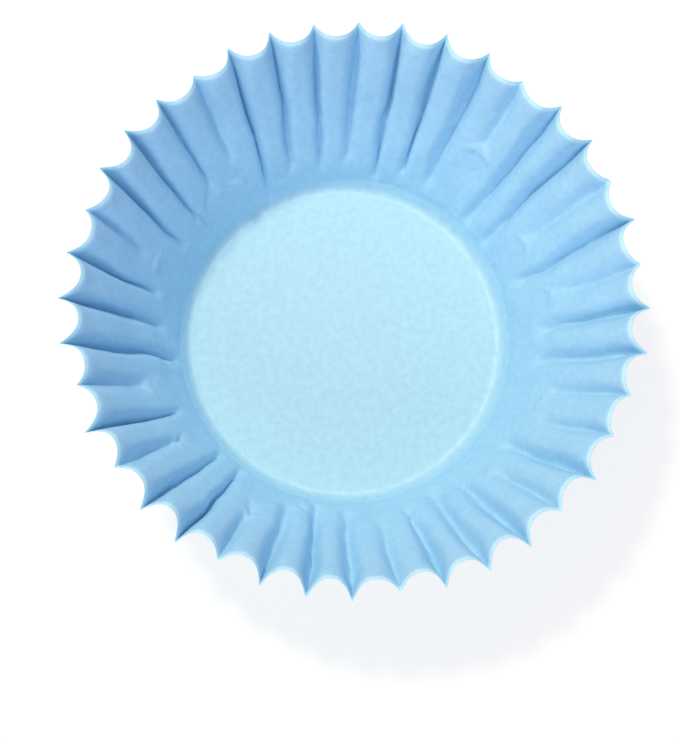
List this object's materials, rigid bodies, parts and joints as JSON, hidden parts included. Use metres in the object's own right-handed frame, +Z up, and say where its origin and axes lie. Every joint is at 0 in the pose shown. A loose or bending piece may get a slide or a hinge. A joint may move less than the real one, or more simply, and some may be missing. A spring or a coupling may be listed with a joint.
{
  "type": "cupcake liner",
  "caption": "Pleated paper cup with a flat round floor and a flared wall, pressed from one thin disc, that holds batter in a baking tin and stays on the cake.",
  "frame": {"origin": "centre of the underside of the floor", "axes": "+Z up out of the cup along its axis; +X through the middle of a pleat's panel"},
  "size_m": [0.0856, 0.0856, 0.0316],
  "materials": {
    "paper": "matt pale blue baking paper, uncoated, slightly translucent"
  },
  "bodies": {
    "root": {"liner": "paper"}
  },
  "joints": []
}
